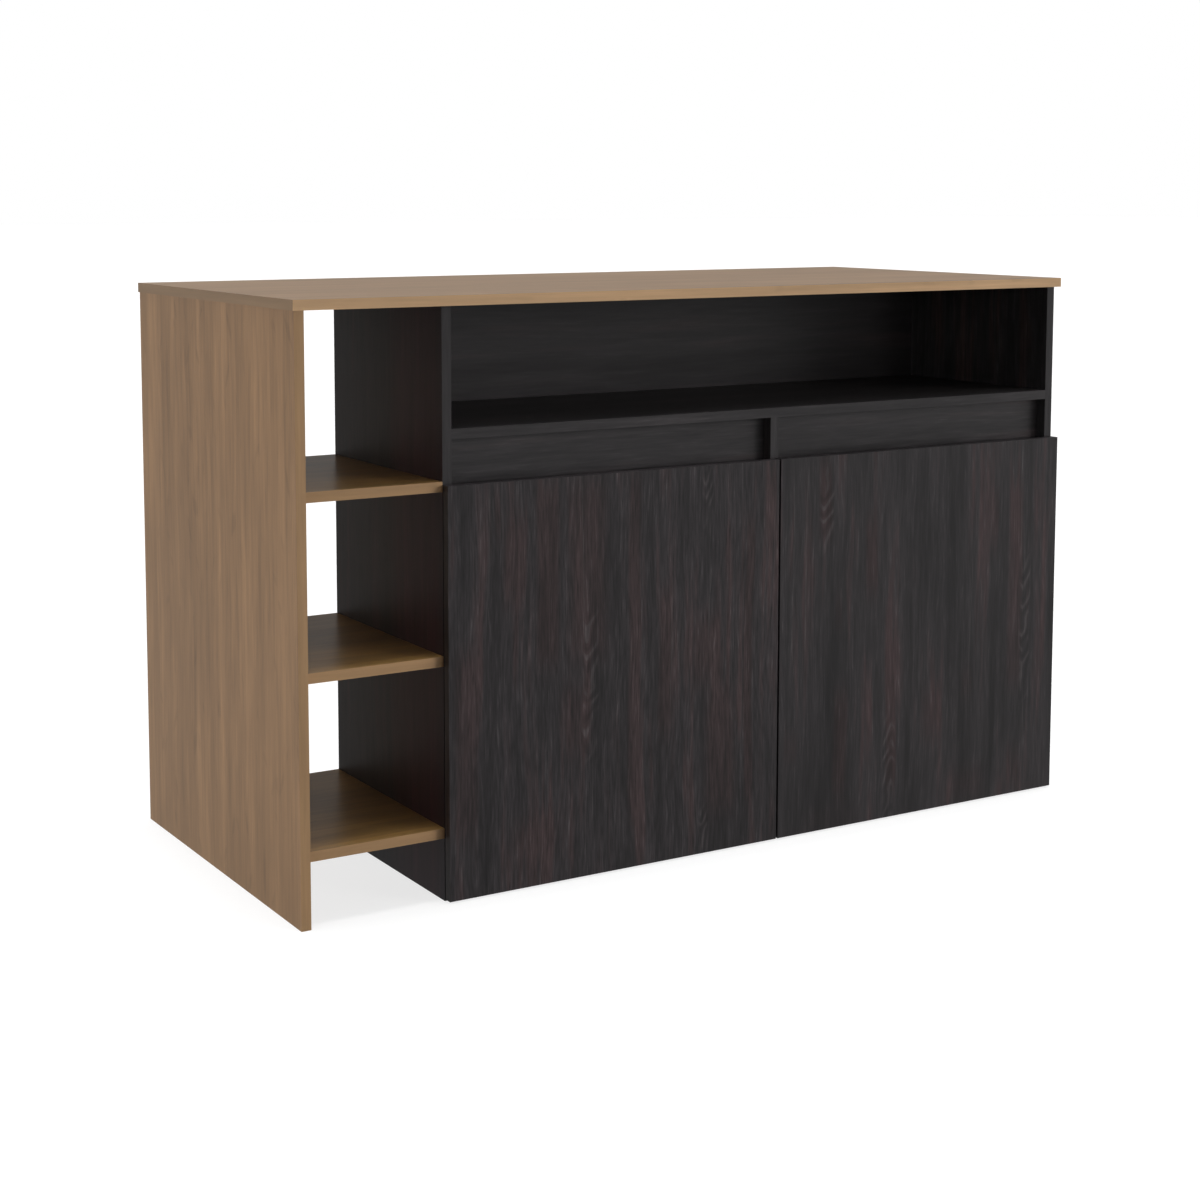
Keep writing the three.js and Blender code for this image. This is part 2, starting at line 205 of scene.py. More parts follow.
def board_coords(t, along, thin, offset):
    """(grain, edge, raw): grain is (across, through, along the grain) in metres, turned on the
    board's ends so that their band's grain runs with the edge. edge is 1 on the narrow faces."""
    tc = t.new("ShaderNodeTexCoord")
    p = dict(zip("xyz", t.sep(tc.outputs["Object"])))
    n = dict(zip("xyz", t.sep(tc.outputs["Normal"])))
    across = ({"x", "y", "z"} - {along, thin}).pop()
    end = t.step(t.m("ABSOLUTE", n[along]), 0.6, 0.8)
    face = t.step(t.m("ABSOLUTE", n[thin]), 0.55, 0.85)
    s = t.mixf(end, p[across], p[thin])
    h = t.mixf(end, p[thin], p[along])
    l = t.mixf(end, p[along], p[across])
    grain = t.vadd(t.vec(s, h, l), offset)
    return grain, t.sub(1.0, face), end, p


def grained(t, grain, across, along, detail=2.0, rough=0.5, shift=0.0):
    v = t.vmul(grain, (across, across, along))
    if shift:
        v = t.vadd(v, (shift, shift * 0.7, shift * 1.3))
    return t.noise(v, detail, rough)


# ---------------------------------------------------------------- light wood
def lens_mark(t, a, l, a0, l0, slant, long, wide):
    """A small mark that narrows to both ends. slant is how far it moves across for its length."""
    dl = t.sub(l, l0)
    da = t.mul(t.sub(t.sub(a, a0), t.mul(dl, slant)), 1.0 / wide)
    dl = t.mul(dl, 1.0 / long)
    return t.step(t.add(t.mul(da, da), t.mul(dl, dl)), 1.0, 0.1)


def stripe(t, a, a0, wide):
    return t.step(t.m("ABSOLUTE", t.sub(a, a0)), wide, wide * 0.25)


def light_wood(name, along, thin, offset, gain=1.0, edge_gain=1.32, end_gain=1.0, face=(140, 109, 78),
               edge=(155, 124, 91), marks=(), stripes=(), gloss=0.5):
    t = Tree(name)
    grain, is_edge, is_end, p = board_coords(t, along, thin, offset)
    # the stripes wander a little
    wave = t.noise(t.vmul(grain, (3.0, 3.0, 1.6)), 1.0)
    s, h, l = t.sep(grain)
    sway = t.mul(t.sub(wave, 0.5), 0.03)
    s = t.add(s, sway)
    g = t.vec(s, h, l)
    broad = grained(t, g, 19.0, 0.6, 2.0, 0.55, 3.1)
    mid = grained(t, g, 75.0, 2.2, 2.0, 0.55, 11.7)
    narrow = grained(t, g, 135.0, 7.5, 2.0, 0.5, 37.3)
    fine = grained(t, g, 280.0, 17.0, 2.0, 0.6, 23.9)
    cloud = grained(t, g, 24.0, 2.4, 2.0, 0.5, 61.1)
    # small dark flecks that slant either way
    dark = None
    for k, seed in ((0.22, 0.0), (-0.30, 7.3)):
        v = t.vec(t.add(t.mul(t.add(s, t.mul(l, k)), 62.0), seed), t.mul(h, 62.0), t.mul(l, 17.0))
        f = t.mul(t.step(t.noise(v, 1.0, 0.4), 0.67, 0.78), 0.15)
        dark = f if dark is None else t.add(dark, f)
    a, b = p[({"x", "y", "z"} - {along, thin}).pop()], p[along]
    for i, (a0, b0, slant, long, wide, depth) in enumerate(marks):
        dark = t.add(dark, t.mul(lens_mark(t, a, b, a0, b0, slant, long, wide), depth))
    hi, lo = lin(*[c * 1.013 for c in face], gain), lin(*[c * 0.974 for c in face], gain)
    c = t.mix(t.step(broad, 0.34, 0.66), lo, hi)
    k = t.add(1.0, t.mul(t.sub(mid, 0.5), 0.54))
    k = t.mul(k, t.add(1.0, t.mul(t.sub(cloud, 0.5), 0.62)))
    k = t.mul(k, t.add(1.0, t.mul(t.sub(narrow, 0.5), 0.58)))
    k = t.mul(k, t.add(1.0, t.mul(t.sub(fine, 0.5), 0.45)))
    k = t.mul(k, t.sub(1.0, dark))
    for a0, wide, depth in stripes:
        k = t.mul(k, t.add(1.0, t.mul(stripe(t, t.add(a, sway), a0, wide), depth)))
    ec = t.mix(t.step(mid, 0.35, 0.65), lin(*[c * 0.985 for c in edge], gain * edge_gain),
               lin(*[c * 1.015 for c in edge], gain * edge_gain))
    col = t.vscale(t.mix(is_edge, c, ec), t.mixf(t.mul(is_edge, 0.6), k, 1.0))
    if end_gain != 1.0:
        col = t.vscale(col, t.add(1.0, t.mul(is_end, end_gain - 1.0)))
    rough = t.add(0.30, t.mul(t.sub(fine, 0.5), 0.08))
    nrm = t.bump(t.add(fine, t.mul(mid, 0.5)), 0.08, 0.0002)
    return t.shader(col, rough, nrm, Specular_IOR_Level=gloss)


# ---------------------------------------------------------------- dark wood
def ends(t, z, za, zb, fade):
    return t.mul(t.step(z, za, za + fade), t.step(z, zb, zb - fade))


def cathedral(t, x, z, x0, w, za, zb, period, rise, side, up, seed):
    """A narrow column of nested pointed lines, unevenly spaced. The tips lie off the middle, away from
    side, where the longer legs run on upwards (up 1) or downwards (-1). Returns (light lines, dark lines)."""
    warp = t.sub(t.noise(t.vec(seed, 0.0, t.mul(z, 11.0)), 2.0), 0.5)
    gap = t.sub(t.noise(t.vec(seed, 4.0, t.mul(z, 15.0)), 1.0), 0.5)
    dx = t.mul(t.add(t.sub(x, x0), t.mul(warp, w * 1.3)), side / w)
    d2 = t.m("MINIMUM", t.mul(dx, dx), 1.02)
    u = t.add(dx, 0.35)
    legs = t.mul(t.m("SQRT", t.add(t.mul(u, u), 0.03)), rise)
    ph = t.add(t.sub(t.mul(z, up), legs), t.mul(gap, period * 3.0))
    wave = t.m("SINE", t.mul(ph, 2 * math.pi / period))
    fit = t.noise(t.vec(t.mul(x, 60.0), seed, t.mul(z, 26.0)), 1.0)
    env = t.mul(t.step(d2, 1.0, 0.45), ends(t, z, za, zb, 0.05))
    env = t.mul(env, t.add(0.35, t.mul(t.step(dx, -0.85, -0.40), 0.65)))
    light = t.mul(t.step(wave, 0.30, 0.95), t.mul(env, t.step(fit, 0.30, 0.52)))
    return light, t.mul(t.step(wave, -0.2, -0.95), env)


def fibre_line(t, x, z, x0, amp, k, za, zb, width, seed):
    """One long fibre that wanders."""
    wob = t.noise(t.vec(seed, 0.0, t.mul(z, k)), 2.0)
    dx = t.m("ABSOLUTE", t.add(t.sub(x, x0), t.mul(t.sub(wob, 0.5), amp)))
    return t.mul(t.step(dx, width, width * 0.2), ends(t, z, za, zb, 0.05))


def dark_wood(name, along, thin, offset, gain=1.0, red=1.0, red_at=0.5, features=(), edge=1.0, sway=0.018,
              cold=(52, 50, 51), warm=(61, 50, 49), grey=(76, 73, 74), own=1.0, contrast=1.0, grit=None,
              swell=None, fleck=0.45, rim=None, skin=None):
    """contrast is the depth of the fibres, grit that of the finest ones and swell that of the widest.
    skin is (a, b, cold, warm, gain): the tones of a board's other side, which begins between a and b."""
    grit = contrast if grit is None else grit
    swell = contrast if swell is None else swell
    t = Tree(name)
    grain, is_edge, is_end, p = board_coords(t, along, thin, offset)
    wave = t.sub(t.noise(t.vmul(grain, (7.0, 7.0, 3.6)), 2.0), 0.5)
    s, h, l = t.sep(grain)
    s = t.add(s, t.mul(wave, sway))
    g = t.vec(s, h, l)
    broad = grained(t, g, 26.0, 2.4, 2.0, 0.55, 5.3)
    band = grained(t, g, 80.0, 4.5, 2.0, 0.55, 17.1)
    mid = grained(t, g, 190.0, 12.0, 2.0, 0.55, 31.3)
    fine = grained(t, g, 340.0, 26.0, 2.0, 0.6, 47.9)
    # red-brown streaks between charcoal ones
    warmth = t.step(t.add(t.mul(broad, 0.62), t.mul(band, 0.38)), red_at - 0.055, red_at + 0.085)
    plain = warmth
    warmth = t.mul(warmth, own)
    x, z = p[({"x", "y", "z"} - {along, thin}).pop()], p["z"]
    xs = t.add(x, t.mul(wave, sway))
    for f in features:
        if f[0] == "streak":
            _, x0, w, za, zb, amount = f
            m = t.step(t.m("ABSOLUTE", t.sub(xs, x0)), w * 1.15, w * 0.5)
            warmth = t.add(warmth, t.mul(t.mul(m, ends(t, z, za, zb, 0.07)), amount))
    warmth = t.mul(t.m("MINIMUM", warmth, 1.15), t.add(0.80, t.mul(band, 0.4)))
    warmth = t.mul(warmth, t.sub(1.0, t.mul(is_edge, 0.8)))
    c = t.mix(t.mul(warmth, red), lin(*cold, gain), lin(*warm, gain))
    # pale and black fibres
    pale = t.mul(t.step(fine, 0.54, 0.76), t.step(mid, 0.42, 0.64))
    c = t.mix(t.mul(pale, fleck), c, lin(*grey, gain))
    if skin:
        a, b, cold_in, warm_in, gain_in = skin
        other = t.mix(t.mul(plain, 0.8), lin(*cold_in, gain_in), lin(*warm_in, gain_in))
        other = t.mix(t.mul(pale, 0.3), other, lin(*grey, gain_in))
        c = t.mix(t.step(p[thin], a, b), other, c)
    k = t.add(1.0, t.mul(t.sub(mid, 0.5), 1.0 * contrast))
    k = t.mul(k, t.add(1.0, t.mul(t.sub(band, 0.5), 0.8 * contrast)))
    k = t.mul(k, t.add(1.0, t.mul(t.sub(broad, 0.5), 1.25 * swell)))
    k = t.mul(k, t.add(1.0, t.mul(t.sub(fine, 0.5), 1.0 * grit)))
    height = t.add(t.mul(fine, 1.0), t.mul(mid, 0.6))
    for f in features:
        if f[0] == "column":
            light, dark = cathedral(t, x, z, *f[1:])
            c = t.mix(t.mul(light, 0.58), c, lin(88, 82, 83, gain))
            k = t.mul(k, t.sub(1.0, t.mul(dark, 0.26)))
        elif f[0] == "line":
            c = t.mix(t.mul(fibre_line(t, x, z, *f[1:]), 0.45), c, lin(86, 82, 82, gain))
        elif f[0] == "vein":
            k = t.mul(k, t.sub(1.0, t.mul(fibre_line(t, x, z, *f[1:]), 0.20)))
    if rim:
        c = t.mix(is_edge, c, lin(*rim, gain))
    k = t.mul(k, t.add(1.0, t.mul(is_edge, edge - 1.0)))
    col = t.vscale(c, k)
    rough = t.add(0.47, t.mul(t.sub(fine, 0.5), 0.16))
    nrm = t.bump(height, 0.16, 0.0003)
    return t.shader(col, rough, nrm, Specular_IOR_Level=0.5)


# ---------------------------------------------------------------- metal and plastic
def nickel(name, base=(0.66, 0.65, 0.63), rough=0.30):
    t = Tree(name)
    p = t.new("ShaderNodeTexCoord").outputs["Object"]
    cloud = t.noise(p, 3.0, 0.6, scale=140.0)
    grit = t.noise(p, 2.0, 0.6, scale=2600.0)
    c = t.mix(t.step(cloud, 0.35, 0.7), (*[v * 0.86 for v in base], 1), (*base, 1))
    r = t.add(rough, t.add(t.mul(t.sub(cloud, 0.5), 0.14), t.mul(t.sub(grit, 0.5), 0.10)))
    return t.shader(c, r, t.bump(grit, 0.10, 0.00005), Metallic=0.45)


def beech(name):
    t = Tree(name)
    p = t.new("ShaderNodeTexCoord").outputs["Object"]
    streak = t.noise(t.vmul(p, (900.0, 900.0, 60.0)), 2.0)
    c = t.mix(streak, lin(176, 138, 98), lin(206, 172, 130))
    return t.shader(c, 0.7, t.bump(streak, 0.3, 0.0001))


def clear_plastic(name):
    t = Tree(name)
    p = t.new("ShaderNodeTexCoord").outputs["Object"]
    haze = t.noise(p, 2.0, 0.5, scale=600.0)
    c = t.mix(haze, (0.74, 0.76, 0.77, 1), (0.86, 0.87, 0.88, 1))
    return t.shader(c, t.add(0.22, t.mul(haze, 0.12)), t.bump(haze, 0.08, 0.0001),
                    Transmission_Weight=0.55, IOR=1.49)


# ---------------------------------------------------------------- finish of each board
def dress(node, mat):
    o = NODES[node]
    o.data.materials.clear()
    o.data.materials.append(mat)


def soften(node, width=0.0006, segments=2):
    m = NODES[node].modifiers.new("edge", "BEVEL")
    m.width = width
    m.segments = segments
    m.limit_method = "ANGLE"
    m.angle_limit = math.radians(50)
    m.use_clamp_overlap = True
    m.harden_normals = True


def mm_x(v):
    return (v + OX) / 1000


def mm_y(v):
    return (v + OY) / 1000


# the end panel's flecks: across, up, slant, half length, half width (mm), depth
FLECKS = [(mm_y(a), b / 1000, k, l / 1000, w / 1000, d) for a, b, k, l, w, d in (
    (234, 763, -0.40, 26, 5, 0.16), (354, 783, 0.45, 16, 6, 0.16), (362, 603, 0.0, 27, 8, 0.12),
    (147, 773, 0.0, 28, 5, 0.07), (427, 633, 0.2, 16, 7, 0.10), (50, 450, 0.5, 13, 6, 0.13),
    (67, 488, 0.5, 11, 6, 0.11), (482, 451, 0.5, 11, 6, 0.13), (495, 490, 0.4, 11, 6, 0.11),
    (192, 508, 0.1, 22, 6, 0.09), (332, 468, 0.0, 14, 5, 0.10), (52, 196, -0.40, 24, 6, 0.15),
    (112, 218, 0.5, 13, 6, 0.12), (480, 193, -0.40, 24, 6, 0.15), (542, 218, 0.5, 12, 6, 0.12),
    (122, 48, 0.0, 42, 7, 0.11), (502, 758, 0.2, 12, 5, 0.08), (302, 278, -0.1, 32, 6, 0.06),
    (87, 648, 0.0, 52, 4, 0.06), (512, 628, 0.0, 50, 4, 0.06), (8, 668, 0.0, 60, 6, 0.07))]
STRIPES = [(mm_y(a), w / 1000, d) for a, w, d in (
    (205, 34, -0.045), (322, 26, -0.040), (442, 26, -0.030), (18, 20, -0.035), (505, 20, -0.025),
    (284, 13, 0.035), (105, 12, 0.025), (168, 11, 0.025), (405, 18, 0.030), (540, 14, 0.025), (246, 12, 0.020))]

TOP = dict(face=(139, 113, 87), edge=(159, 130, 99), edge_gain=1.80, end_gain=0.355)
dress("worktop", light_wood("wood_worktop", "x", "z", (1.7, 0.4, 3.3), **TOP))
dress("left_end_panel", light_wood("wood_end_panel", "z", "x", (4.1, 2.2, 0.6), marks=FLECKS, stripes=STRIPES))
for i, n in enumerate(("open_shelf_top", "open_shelf_middle", "open_shelf_bottom")):
    dress(n, light_wood("wood_" + n, "x", "z", (6.3 + 1.9 * i, 3.7 - 1.1 * i, 5.2 + 2.3 * i), face=(140, 108, 63),
                        gloss=0.36))


def streaks(*rows):
    """Red-brown streaks from x0 to x1, between heights za and zb, in cabinet millimetres."""
    return tuple(("streak", mm_x((a + b) / 2), (b - a) / 2000, za / 1000, zb / 1000, k) for a, b, za, zb, k in rows)


LEFT_DOOR = streaks(
    (144, 189, 300, 640, 1.0), (199, 273, 300, 640, 0.85), (305, 329, 50, 640, 0.9), (359, 387, 170, 460, 0.95),
    (520, 539, 40, 560, 1.0), (419, 480, 240, 410, 0.9), (445, 508, 30, 290, 0.9), (86, 130, 400, 590, 0.9),
    (6, 50, 60, 400, 0.8), (187, 243, 160, 330, 0.8), (94, 190, 20, 130, 0.85), (73, 84, 500, 640, 0.8),
    (570, 582, -20, 110, 0.8), (570, 582, 520, 640, 0.7),
) + (
    ("column", mm_x(237), 0.0165, 0.16, 0.43, 0.040, 0.036, 1, 1, 1.7),
    ("column", mm_x(449), 0.0115, 0.50, 0.64, 0.030, 0.034, 1, 1, 7.7),
    ("column", mm_x(444), 0.0105, -0.02, 0.10, 0.028, 0.030, 1, 1, 9.9),
    ("line", mm_x(455), 0.022, 5.0, 0.32, 0.60, 0.0013, 3.1),
    ("line", mm_x(226), 0.012, 3.0, 0.38, 0.64, 0.0012, 5.9),
    ("line", mm_x(243), 0.010, 4.0, 0.06, 0.20, 0.0011, 2.6),
    ("line", mm_x(66), 0.030, 3.6, 0.36, 0.64, 0.0011, 9.4),
    ("line", mm_x(385), 0.020, 4.0, 0.22, 0.46, 0.0010, 6.2),
    ("vein", mm_x(72), 0.050, 3.6, 0.30, 0.60, 0.0060, 9.4),
    ("vein", mm_x(128), 0.050, 3.2, 0.28, 0.60, 0.0050, 11.8),
    ("vein", mm_x(233), 0.012, 3.0, 0.38, 0.64, 0.0016, 5.9),
    ("vein", mm_x(262), 0.030, 3.0, 0.04, 0.34, 0.0060, 13.3),
    ("vein", mm_x(345), 0.030, 3.0, 0.10, 0.58, 0.0070, 15.1),
)
RIGHT_DOOR = streaks(
    (664, 693, 450, 640, 1.0), (760, 790, 350, 540, 0.95), (966, 993, 470, 530, 0.7), (1027, 1046, 400, 560, 0.8),
    (1067, 1103, 160, 570, 0.75), (696, 728, 20, 260, 0.9), (806, 830, 20, 320, 0.9), (881, 924, 90, 240, 0.7),
    (965, 994, 160, 260, 0.7), (598, 628, 100, 190, 0.8), (636, 760, -20, 60, 0.7), (930, 1030, -20, 90, 0.7),
    (1075, 1104, -20, 110, 0.7), (700, 716, 300, 420, 0.5), (1110, 1168, 400, 460, 0.5), (815, 826, 420, 480, 0.5),
) + (
    ("column", mm_x(679), 0.0165, 0.44, 0.66, 0.040, 0.034, 1, 1, 12.3),
    ("column", mm_x(1108), 0.0130, 0.15, 0.43, 0.038, 0.030, 1, 1, 18.1),
    ("column", mm_x(814), 0.0150, -0.02, 0.19, 0.036, 0.040, -1, -1, 21.4),
    ("line", mm_x(1098), 0.016, 4.0, 0.38, 0.64, 0.0012, 4.7),
    ("line", mm_x(1110), 0.010, 4.0, 0.04, 0.20, 0.0011, 8.8),
    ("line", mm_x(640), 0.036, 3.6, 0.28, 0.62, 0.0012, 15.3),
    ("line", mm_x(618), 0.030, 4.2, 0.24, 0.60, 0.0010, 25.9),
    ("line", mm_x(988), 0.030, 3.0, 0.12, 0.46, 0.0010, 35.1),
    ("vein", mm_x(725), 0.030, 3.0, 0.20, 0.66, 0.0100, 16.6),
    ("vein", mm_x(855), 0.030, 3.0, 0.04, 0.50, 0.0110, 26.1),
    ("vein", mm_x(650), 0.036, 3.6, 0.24, 0.60, 0.0040, 15.3),
    ("vein", mm_x(1094), 0.016, 4.0, 0.16, 0.64, 0.0020, 4.7),
)
dress("door_left_panel", dark_wood("wood_door_left", "z", "y", (2.3, 0.9, 1.1), gain=0.81, features=LEFT_DOOR,
                                   red_at=0.55, own=1.0, contrast=1.15, grit=2.5, swell=1.9,
                                   cold=(55, 51.2, 53), warm=(61, 49.6, 50.2)))
dress("door_right_panel", dark_wood("wood_door_right", "z", "y", (7.9, 5.3, 4.7), gain=0.81, features=RIGHT_DOOR,
                                    red_at=0.585, own=0.95, contrast=1.05, grit=1.4,
                                    swell=1.8, cold=(53.6, 50.3, 51.8), warm=(61, 48.6, 49.4)))
dress("carcass_left_side", dark_wood("wood_carcass_left_side", "z", "x", (11.3, 1.7, 2.9), red_at=0.58, own=0.35,
                                     gain=0.80, cold=(43.5, 41.2, 49), warm=(67, 40, 50), fleck=0.3, contrast=0.8,
                                     rim=(52.4, 50, 51),
                                     skin=(mm_x(10), mm_x(5), (53, 50.3, 51.5), (59, 49, 49.5), 0.80),
                                     features=(("streak", mm_y(85), 0.095, -0.2, 1.1, 0.8),)))
# The carcass right side's inner, niche-facing face is painted 1.5 times brighter than the divider. This is painted
# light that lifts the shade on the niche's right wall. Its outer face (skin, gain 0.72) and its front edge (the darker
# rim) are brought back to the plain board's brightness.
for i, n in enumerate(("carcass_right_side", "centre_divider")):
    dress(n, dark_wood("wood_" + n, "z", "x", (14.4 + 3.1 * i, 2.7 + i, 4.2 + 1.3 * i), red_at=0.54, red=(0.9, 0.7)[i],
                       gain=(1.5, 1.0)[i], fleck=0.4, rim=(52.4, 50, 51) if i else (40.1, 38.1, 39.1), grit=1.3,
                       skin=None if i else (mm_x(1168), mm_x(1164), (53.6, 50.3, 51.8), (60, 48.8, 49.6), 0.72)))
FLAT = {
    "niche_back_panel": "y", "lower_back_panel": "y", "recess_rail_left": "y", "recess_rail_right": "y",
    "plinth_front": "y", "niche_shelf": "z", "bottom_panel": "z", "inner_shelf_left": "z", "inner_shelf_right": "z",
}
for i, (n, thin) in enumerate(FLAT.items()):
    back = n == "niche_back_panel"
    dress(n, dark_wood("wood_" + n, "x", thin, (23.7 + 2.7 * i, 4.1 + 1.1 * i, 8.3 + 3.9 * i), red=0.30, red_at=0.58,
                       sway=0.012, contrast=0.55 if back else 0.95, grit=0.45 if back else 0.85, swell=1.0,
                       fleck=0.10 if back else 0.22, cold=(52.6, 50.2, 51.2)))

BOARDS = ["worktop", "left_end_panel", "open_shelf_top", "open_shelf_middle", "open_shelf_bottom",
          "door_left_panel", "door_right_panel", "carcass_left_side", "carcass_right_side", "centre_divider", *FLAT]
for n in BOARDS:
    soften(n, 0.0007 if n in ("worktop", "left_end_panel") or n.startswith("door") else 0.0004)

STEEL = nickel("nickel_plate")
BRACKET = nickel("zinc_plate", (0.55, 0.56, 0.58), 0.40)
BEECH = beech("beech_dowel")
CLEAR = clear_plastic("bumper_plastic")
for n in NODES:
    if n.startswith(("hinge_", "shelf_pin")):
        dress(n, STEEL)
    elif n.startswith("overhang_bracket"):
        dress(n, BRACKET)
    elif n.startswith("dowel"):
        dress(n, BEECH)
    elif n.startswith("bumper"):
        dress(n, CLEAR)


def smooth_by_angle(limit):
    """A modifier's node group that shades curves smooth and keeps every edge above limit degrees sharp."""
    g = bpy.data.node_groups.new("smooth_by_angle", "GeometryNodeTree")
    g.interface.new_socket("Geometry", in_out="INPUT", socket_type="NodeSocketGeometry")
    g.interface.new_socket("Geometry", in_out="OUTPUT", socket_type="NodeSocketGeometry")
    start, end = g.nodes.new("NodeGroupInput"), g.nodes.new("NodeGroupOutput")
    faces, edges = (g.nodes.new("GeometryNodeSetShadeSmooth") for _ in range(2))
    faces.domain, edges.domain = "FACE", "EDGE"
    faces.inputs["Shade Smooth"].default_value = True
    edges.inputs["Shade Smooth"].default_value = False
    angle = g.nodes.new("GeometryNodeInputMeshEdgeAngle")
    sharp = g.nodes.new("FunctionNodeCompare")
    sharp.data_type, sharp.operation = "FLOAT", "GREATER_THAN"
    sharp.inputs[1].default_value = math.radians(limit)
    g.links.new(angle.outputs[0], sharp.inputs[0])
    g.links.new(sharp.outputs[0], edges.inputs["Selection"])
    g.links.new(start.outputs[0], faces.inputs["Geometry"])
    g.links.new(faces.outputs[0], edges.inputs["Geometry"])
    g.links.new(edges.outputs[0], end.inputs[0])
    return g


SMOOTH = smooth_by_angle(32)


def shade(o):
    m = o.modifiers.new("smooth", "NODES")
    m.node_group = SMOOTH


for n in NODES:
    if n.startswith(("hinge_arm", "hinge_plate", "overhang_bracket")):
        soften(n, 0.00022, 1)
    elif n.startswith(("hinge_", "shelf_pin", "dowel", "bumper")):
        shade(NODES[n])

# ---------------------------------------------------------------- screws
SCREW = nickel("screw_plate", (0.60, 0.60, 0.61), 0.33)
QUADRANT = (0, 14, 29, 45, 61, 76)
ROUND = [math.radians(q * 90 + a) for q in range(4) for a in QUADRANT]


def cross(a, long, half):
    """How far a cross-shaped recess reaches in direction a."""
    def bar(b):
        return min(long / max(abs(math.cos(b)), 1e-6), half / max(abs(math.sin(b)), 1e-6))
    return max(bar(a), bar(a + math.pi / 2))


def screw_heads(name, body, spots):
    """Low domed heads with a cross recess. Each spot is (foot, outward direction, radius, height, turn),
    with radius and height in millimetres and turn in degrees."""
    bm = bmesh.new()
    for foot, out, radius, height, turn in spots:
        r, h = radius / 1000, height / 1000
        place = Matrix.Translation(foot) @ Vector(out).to_track_quat("Z", "Y").to_matrix().to_4x4()
        place = place @ Matrix.Rotation(math.radians(turn), 4, "Z")
        rings = []
        for f, z in ((1.0, -0.03), (1.0, 0.30), (0.95, 0.58), (0.83, 0.84), (0.64, 1.0)):
            rings.append([(f * r * math.cos(a), f * r * math.sin(a), z * h) for a in ROUND])
        for f, z in ((1.0, 1.0), (0.86, 0.30)):
            rings.append([(cross(a, 0.52 * r, 0.13 * r) * f * math.cos(a),
                           cross(a, 0.52 * r, 0.13 * r) * f * math.sin(a), z * h) for a in ROUND])
        rows = [[bm.verts.new(place @ Vector(v)) for v in ring] for ring in rings]
        n = len(ROUND)
        for a, b in zip(rows, rows[1:]):
            for i in range(n):
                bm.faces.new((a[i], a[(i + 1) % n], b[(i + 1) % n], b[i]))
        bm.faces.new(rows[-1])
        bm.faces.new(list(reversed(rows[0])))
    bm.normal_update()
    mesh = bpy.data.meshes.new(name)
    bm.to_mesh(mesh)
    bm.free()
    mesh.materials.append(SCREW)
    o = bpy.data.objects.new(name, mesh)
    scene.collection.objects.link(o)
    shade(o)
    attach(o, body)


for side, out in (("left", 1), ("right", -1)):
    for k, (where, z) in enumerate((("lower", 103), ("upper", 513))):
        screw_heads("screws_plate_%s_%s" % (side, where), "cabinet", [
            (at(16.8, 37, z - 17, side), (out, 0, 0), 3.3, 1.3, 12 + 31 * k),
            (at(16.8, 37, z + 17, side), (out, 0, 0), 3.3, 1.3, 63 + 17 * k),
            (at(23.6, 37, z, side), (out, 0, 0), 2.7, 0.9, 40 + 25 * k),
            (at(23.6, 56, z, side), (out, 0, 0), 3.4, 1.5, 77 + 9 * k)])
        screw_heads("screws_cup_%s_%s" % (side, where), "door_" + side, [
            (at(30, -0.5, z - 22.5, side), (0, 1, 0), 3.4, 1.1, 22 + 37 * k),
            (at(30, -0.5, z + 22.5, side), (0, 1, 0), 3.4, 1.1, 55 + 13 * k)])
for k, (where, x) in enumerate((("left", 110), ("middle", 587.75), ("right", 1065.5))):
    screw_heads("screws_bracket_" + where, "cabinet", [
        (at(x - 7, 393, 868), (0, 0, -1), 4.2, 1.7, 15 + 21 * k), (at(x + 7, 393, 868), (0, 0, -1), 4.2, 1.7, 66 + 8 * k),
        (at(x - 7, 369, 844), (0, 1, 0), 4.2, 1.7, 35 + 12 * k), (at(x + 7, 369, 844), (0, 1, 0), 4.2, 1.7, 81 + 5 * k)])

# ---------------------------------------------------------------- floor, world and lights
floor_mesh = bpy.data.meshes.new("floor")
bm = bmesh.new()
bmesh.ops.create_grid(bm, x_segments=1, y_segments=1, size=60.0)
bm.to_mesh(floor_mesh)
bm.free()
floor = bpy.data.objects.new("floor", floor_mesh)
scene.collection.objects.link(floor)
tf = Tree("floor_white")
tp = tf.new("ShaderNodeTexCoord").outputs["Object"]
tone = tf.noise(tp, 2.0, 0.5, scale=3.0)
floor_mesh.materials.append(tf.shader(tf.mix(tone, (0.27, 0.27, 0.27, 1), (0.28, 0.28, 0.28, 1)), 0.9,
                                      Specular_IOR_Level=0.05, Emission_Color=(1, 1, 1, 1), Emission_Strength=0.76))
floor.visible_diffuse = False
floor.visible_glossy = False

# What reflections find: one row for the front half of the room and one for the back half, each
# by height (the z of the direction), dim low down and overhead, bright towards the horizon.
AMBIENT = 0.0
HEIGHTS = (-0.40, -0.22, -0.10, 0.02, 0.30)
FRONT = (0.10, 0.69, 0.74, 0.53, 0.25)
BACK = (0.22, 0.36, 0.29, 0.33, 0.20)
world = bpy.data.worlds.new("studio")
scene.world = world
world.use_nodes = True
wt = world.node_tree
wt.nodes.clear()


def wnode(kind, **props):
    n = wt.nodes.new(kind)
    for k, v in props.items():
        setattr(n, k, v)
    return n


def wmix(f, a, b):
    n = wnode("ShaderNodeMix", data_type="FLOAT")
    for i, v in ((0, f), (2, a), (3, b)):
        if isinstance(v, bpy.types.NodeSocket):
            wt.links.new(v, n.inputs[i])
        else:
            n.inputs[i].default_value = v
    return n.outputs[0]


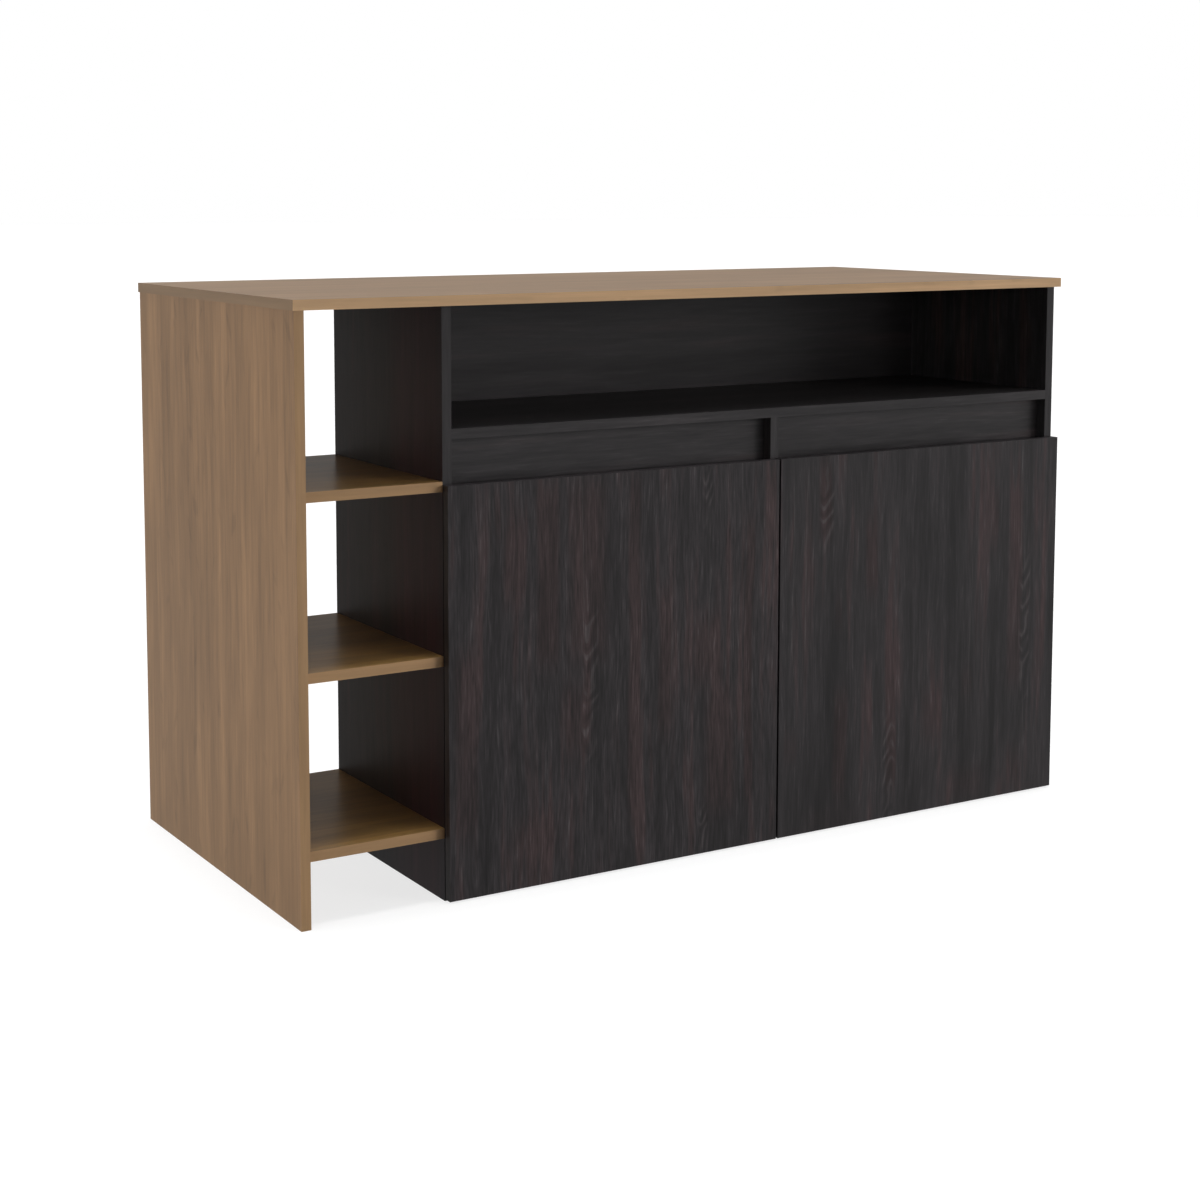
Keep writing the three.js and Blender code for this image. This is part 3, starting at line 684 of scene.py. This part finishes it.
def wrange(v, a, b, smooth=False):
    n = wnode("ShaderNodeMapRange", interpolation_type="SMOOTHSTEP" if smooth else "LINEAR", clamp=True)
    n.inputs["From Min"].default_value = a
    n.inputs["From Max"].default_value = b
    wt.links.new(v, n.inputs["Value"])
    return n.outputs["Result"]


wc = wnode("ShaderNodeTexCoord")
ws = wnode("ShaderNodeSeparateXYZ")
wt.links.new(wc.outputs["Generated"], ws.inputs[0])


def by_height(levels):
    v = levels[0]
    for i in range(1, len(levels)):
        v = wmix(wrange(ws.outputs[2], HEIGHTS[i - 1], HEIGHTS[i]), v, levels[i])
    return v


room = wmix(wrange(ws.outputs[1], -0.25, 0.25, True), by_height(FRONT), by_height(BACK))
path = wnode("ShaderNodeLightPath")
level = wmix(path.outputs["Is Glossy Ray"], AMBIENT, room)
level = wmix(path.outputs["Is Camera Ray"], level, 1.0)
bg = wnode("ShaderNodeBackground")
bg.inputs["Color"].default_value = (1, 1, 1, 1)
wt.links.new(level, bg.inputs["Strength"])
wo = wnode("ShaderNodeOutputWorld")
wt.links.new(bg.outputs[0], wo.inputs["Surface"])


def lamp(name, kind, loc, toward):
    d = bpy.data.lights.new(name, kind)
    o = bpy.data.objects.new(name, d)
    o.location = loc
    o.rotation_euler = Vector(toward).to_track_quat("-Z", "Y").to_euler()
    scene.collection.objects.link(o)
    o.visible_glossy = False
    o.visible_camera = False
    return d


def soft_sun(name, azimuth, height, strength, spread):
    """Even light from azimuth (0 the front, 90 the right side) and height, both in degrees, from a
    disc that is spread degrees wide."""
    a, e = math.radians(azimuth), math.radians(height)
    source = Vector((math.sin(a) * math.cos(e), -math.cos(a) * math.cos(e), math.sin(e)))
    d = lamp(name, "SUN", source * 4, -source)
    d.energy = strength * math.pi
    d.angle = math.radians(spread)


def softbox(name, loc, look, wide, high, power, spread=180):
    d = lamp(name, "AREA", loc, Vector(look) - Vector(loc))
    d.shape = "RECTANGLE"
    d.size, d.size_y = wide, high
    d.energy = power
    d.spread = math.radians(spread)


soft_sun("top_near", 0, 90, 0.80, 20)
soft_sun("top_wide", 0, 90, 0.34, 70)
soft_sun("left_soft", -97, 2, 0.97, 12)
soft_sun("front_left", -55, 2, 0.06, 16)
soft_sun("front_a", 10, 1, 0.10, 12)
soft_sun("front_b", 55, 1, 0.09, 12)
soft_sun("front_c", 65, 1, 0.17, 12)
soft_sun("front_high", 40, 12, 0.33, 20)
softbox("front_low", (2.394, -3.577, 0.74), (0.1, -0.3, 0.70), 2.73, 0.2, 11.5)
soft_sun("back_soft", 174, 6, 0.47, 40)
soft_sun("right_soft", 96, 5, 0.70, 16)
softbox("bounce", (0, 0, 0.004), (0, 0, 1), 4.0, 3.0, 5.0, 30)
